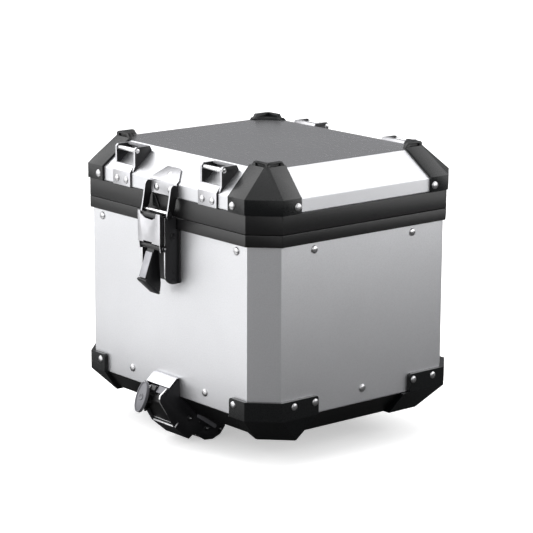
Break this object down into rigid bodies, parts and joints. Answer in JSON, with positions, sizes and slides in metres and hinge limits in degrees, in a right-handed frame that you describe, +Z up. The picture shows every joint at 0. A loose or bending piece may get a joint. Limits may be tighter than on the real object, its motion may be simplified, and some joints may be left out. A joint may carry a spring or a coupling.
{
  "type": "motorcycle top case",
  "caption": "Boxy aluminium motorcycle top case: domed lid, black corner armour, front draw latch, quick-release mount lock, riveted panels and lid lashing points.",
  "frame": {"origin": "bottom centre of the whole case's bounding box, under the mount lock's arms", "axes": "+Z up through the lid, -Y towards the latch side, +X to the right when facing the latch"},
  "size_m": [0.393, 0.388, 0.3849],
  "materials": {
    "aluminium": "natural anodised sheet, satin, faint brushing",
    "bright_steel": "polished stainless pressings, bars and rivet heads",
    "black_plastic": "glass-filled nylon, fine moulded grain",
    "black_steel": "black powder coat",
    "grey_plastic": "mid grey moulding, satin",
    "rubber": "matt black gasket"
  },
  "bodies": {
    "root": {"body_shell": "aluminium", "floor_panel": "aluminium", "body_rim": "black_plastic", "base_frame": "black_plastic", "lock_body": "black_plastic", "front_left_bumper": "black_plastic", "front_right_bumper": "black_plastic", "rear_left_bumper": "black_plastic", "rear_right_bumper": "black_plastic", "front_upper_rivet_left": "bright_steel", "front_lower_rivet_left": "bright_steel", "front_upper_rivet_right": "bright_steel", "front_lower_rivet_right": "bright_steel", "rear_upper_rivet_left": "bright_steel", "rear_lower_rivet_left": "bright_steel", "rear_upper_rivet_right": "bright_steel", "rear_lower_rivet_right": "bright_steel", "left_upper_rivet_front": "bright_steel", "left_upper_rivet_rear": "bright_steel", "left_lower_rivet": "bright_steel", "right_upper_rivet_front": "bright_steel", "right_upper_rivet_rear": "bright_steel", "right_lower_rivet": "bright_steel", "latch_pivot_pin": "bright_steel", "hinge_pin_left": "bright_steel", "hinge_pin_right": "bright_steel", "lock_hood": "bright_steel", "lock_striker": "bright_steel", "lock_hook_pin": "bright_steel", "lock_stop_pin": "bright_steel", "latch_housing": "black_steel", "hinge_body_leaf_left": "black_steel", "hinge_body_leaf_right": "black_steel", "lock_bracket": "black_steel", "rim_seal": "rubber"},
    "lid": {"lid_shell": "aluminium", "lid_rim": "black_plastic", "lid_hasp": "bright_steel", "lid_hasp_bar": "bright_steel", "hinge_lid_leaf_left": "black_steel", "hinge_lid_leaf_right": "black_steel", "front_left_lid_cap": "black_plastic", "front_right_lid_cap": "black_plastic", "rear_left_lid_cap": "black_plastic", "rear_right_lid_cap": "black_plastic", "front_left_lash_bracket": "bright_steel", "front_right_lash_bracket": "bright_steel", "rear_left_lash_bracket": "bright_steel", "rear_right_lash_bracket": "bright_steel", "front_left_lash_bar": "bright_steel", "front_right_lash_bar": "bright_steel", "rear_left_lash_bar": "bright_steel", "rear_right_lash_bar": "bright_steel"},
    "latch_cover": {"latch_cover": "bright_steel", "latch_roller": "black_steel"},
    "latch_lever": {"latch_lever": "black_steel", "latch_lever_strap": "bright_steel"},
    "lock_paddle": {"lock_paddle": "grey_plastic"},
    "lock_hook": {"lock_hook": "bright_steel"}
  },
  "joints": [
    {"name": "lid_hinge", "type": "hinge", "parent": "root", "child": "lid", "pos_m": [0, 0.18904, 0.3022], "axis": [-1, 0, 0], "range_deg": [0, 95]},
    {"name": "latch_lever_pivot", "type": "hinge", "parent": "root", "child": "latch_lever", "pos_m": [0, -0.17496, 0.264], "axis": [-1, 0, 0], "range_deg": [-12, 50]},
    {"name": "latch_cover_pivot", "type": "hinge", "parent": "root", "child": "latch_cover", "pos_m": [0, -0.17496, 0.264], "axis": [1, 0, 0], "range_deg": [-4.2, 17.5]},
    {"name": "lock_paddle_turn", "type": "hinge", "parent": "root", "child": "lock_paddle", "pos_m": [-0.0135, -0.18396, 0.064], "axis": [0, -0.9397, 0.342], "range_deg": [0, 90]},
    {"name": "lock_hook_swing", "type": "hinge", "parent": "root", "child": "lock_hook", "pos_m": [0, -0.10826, 0.017], "axis": [1, 0, 0], "range_deg": [0, 25]}
  ],
  "couplings": [
    {"joint": "latch_cover_pivot", "follows": "latch_lever_pivot", "ratio": 0.35},
    {"joint": "lock_hook_swing", "follows": "lock_paddle_turn", "ratio": 0.27778}
  ]
}
